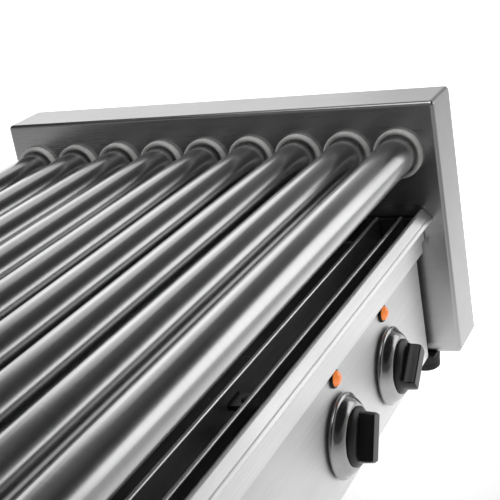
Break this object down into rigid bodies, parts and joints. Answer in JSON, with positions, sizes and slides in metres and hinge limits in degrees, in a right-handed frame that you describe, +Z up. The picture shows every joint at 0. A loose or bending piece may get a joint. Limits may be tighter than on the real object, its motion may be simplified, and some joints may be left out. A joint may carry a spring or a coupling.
{
  "type": "hot dog roller grill",
  "caption": "Countertop roller grill: parallel polished heated tubes turning between two side housings, with a slide-out drip tray, control panel with knobs and lamps, and chain drive.",
  "frame": {"origin": "on the surface the feet stand on, under the middle of the grill", "axes": "+X to the right seen from the front, +Y to the back, +Z up"},
  "size_m": [0.5836, 0.336, 0.195],
  "materials": {
    "steel": "fine brushed stainless sheet",
    "panel_steel": "fine brushed stainless sheet",
    "sheet_steel": "plain galvanised sheet",
    "roller_steel": "polished stainless tube",
    "rail_steel": "polished stainless strip",
    "tray_steel": "black enamelled pan",
    "black_metal": "black coated strap",
    "zinc": "zinc plated",
    "gear_steel": "oiled steel",
    "chain_steel": "oiled steel",
    "heater_steel": "oxidised heater tube",
    "motor_paint": "grey paint",
    "knob_metal": "polished metal cone",
    "collar_plastic": "smooth white bearing plastic",
    "case_plastic": "moulded",
    "black_plastic": "satin moulded",
    "red_plastic": "glossy moulded",
    "amber_lens": "glossy translucent lens",
    "foot_rubber": "matt moulded rubber"
  },
  "bodies": {
    "frame": {"right_housing": "steel", "left_housing": "steel", "right_outer_cover": "steel", "left_outer_cover": "steel", "right_cover_screws": "zinc", "left_cover_screws": "zinc", "base_pan": "sheet_steel", "base_screws": "zinc", "control_panel": "panel_steel", "rear_panel": "steel", "tray_shelf": "sheet_steel", "right_tray_runner": "sheet_steel", "left_tray_runner": "sheet_steel", "right_bushings": "collar_plastic", "left_bushings": "collar_plastic", "heating_elements": "heater_steel", "right_element_bracket": "sheet_steel", "left_element_bracket": "sheet_steel", "terminal_block": "case_plastic", "drive_chain": "chain_steel", "gear_motor": "motor_paint", "motor_bracket": "sheet_steel", "tensioner_arm": "sheet_steel", "thermostat_1": "case_plastic", "thermostat_2": "case_plastic", "lamp_1": "amber_lens", "lamp_2": "amber_lens", "switch_body": "black_plastic", "rubber_feet": "foot_rubber", "cable_gland": "black_plastic"},
    "tray": {"drip_tray": "tray_steel", "rear_splash_rail": "rail_steel", "front_splash_rail": "rail_steel", "rail_bracket": "black_metal"},
    "motor_sprocket": {"motor_sprocket": "gear_steel"},
    "tensioner_sprocket": {"tensioner_sprocket": "gear_steel"},
    "knob_1": {"knob_1_skirt": "knob_metal", "knob_1_grip": "black_plastic"},
    "knob_2": {"knob_2_skirt": "knob_metal", "knob_2_grip": "black_plastic"},
    "rocker": {"switch_rocker": "red_plastic"},
    "roller_1": {"roller_1": "roller_steel", "roller_sprocket_1": "gear_steel"},
    "roller_2": {"roller_2": "roller_steel", "roller_sprocket_2": "gear_steel"},
    "roller_3": {"roller_3": "roller_steel", "roller_sprocket_3": "gear_steel"},
    "roller_4": {"roller_4": "roller_steel", "roller_sprocket_4": "gear_steel"},
    "roller_5": {"roller_5": "roller_steel", "roller_sprocket_5": "gear_steel"},
    "roller_6": {"roller_6": "roller_steel", "roller_sprocket_6": "gear_steel"},
    "roller_7": {"roller_7": "roller_steel", "roller_sprocket_7": "gear_steel"},
    "roller_8": {"roller_8": "roller_steel", "roller_sprocket_8": "gear_steel"},
    "roller_9": {"roller_9": "roller_steel", "roller_sprocket_9": "gear_steel"}
  },
  "joints": [
    {"name": "roller_1_spin", "type": "hinge", "parent": "frame", "child": "roller_1", "pos_m": [0, 0.147, 0.161], "axis": [1, 0, 0], "continuous": true, "deforming": ["drive_chain"]},
    {"name": "roller_2_spin", "type": "hinge", "parent": "frame", "child": "roller_2", "pos_m": [0, 0.111, 0.161], "axis": [1, 0, 0], "continuous": true},
    {"name": "roller_3_spin", "type": "hinge", "parent": "frame", "child": "roller_3", "pos_m": [0, 0.075, 0.161], "axis": [1, 0, 0], "continuous": true},
    {"name": "roller_4_spin", "type": "hinge", "parent": "frame", "child": "roller_4", "pos_m": [0, 0.039, 0.161], "axis": [1, 0, 0], "continuous": true},
    {"name": "roller_5_spin", "type": "hinge", "parent": "frame", "child": "roller_5", "pos_m": [0, 0.003, 0.161], "axis": [1, 0, 0], "continuous": true},
    {"name": "roller_6_spin", "type": "hinge", "parent": "frame", "child": "roller_6", "pos_m": [0, -0.033, 0.161], "axis": [1, 0, 0], "continuous": true},
    {"name": "roller_7_spin", "type": "hinge", "parent": "frame", "child": "roller_7", "pos_m": [0, -0.069, 0.161], "axis": [1, 0, 0], "continuous": true},
    {"name": "roller_8_spin", "type": "hinge", "parent": "frame", "child": "roller_8", "pos_m": [0, -0.105, 0.161], "axis": [1, 0, 0], "continuous": true},
    {"name": "roller_9_spin", "type": "hinge", "parent": "frame", "child": "roller_9", "pos_m": [0, -0.141, 0.161], "axis": [1, 0, 0], "continuous": true},
    {"name": "motor_spin", "type": "hinge", "parent": "frame", "child": "motor_sprocket", "pos_m": [0.27, -0.04, 0.055], "axis": [1, 0, 0], "continuous": true},
    {"name": "tensioner_spin", "type": "hinge", "parent": "frame", "child": "tensioner_sprocket", "pos_m": [0.27, 0.07, 0.055], "axis": [1, 0, 0], "continuous": true},
    {"name": "tray_slide", "type": "slide", "parent": "frame", "child": "tray", "axis": [0, -1, 0], "range_m": [0, 0.31]},
    {"name": "knob_1_turn", "type": "hinge", "parent": "frame", "child": "knob_1", "pos_m": [0.1603, -0.1472, 0.049], "axis": [0, 1, 0], "range_deg": [-53, 247]},
    {"name": "knob_2_turn", "type": "hinge", "parent": "frame", "child": "knob_2", "pos_m": [0.0726, -0.1472, 0.049], "axis": [0, 1, 0], "range_deg": [-28, 272]},
    {"name": "switch_rock", "type": "hinge", "parent": "frame", "child": "rocker", "pos_m": [-0.15, -0.1457, 0.064], "axis": [-1, 0, 0], "range_deg": [0, 20]}
  ],
  "couplings": [
    {"joint": "roller_2_spin", "follows": "roller_1_spin", "ratio": 1},
    {"joint": "roller_3_spin", "follows": "roller_1_spin", "ratio": 1},
    {"joint": "roller_4_spin", "follows": "roller_1_spin", "ratio": 1},
    {"joint": "roller_5_spin", "follows": "roller_1_spin", "ratio": 1},
    {"joint": "roller_6_spin", "follows": "roller_1_spin", "ratio": 1},
    {"joint": "roller_7_spin", "follows": "roller_1_spin", "ratio": 1},
    {"joint": "roller_8_spin", "follows": "roller_1_spin", "ratio": 1},
    {"joint": "roller_9_spin", "follows": "roller_1_spin", "ratio": 1},
    {"joint": "motor_spin", "follows": "roller_1_spin", "ratio": 1},
    {"joint": "tensioner_spin", "follows": "roller_1_spin", "ratio": 1}
  ]
}
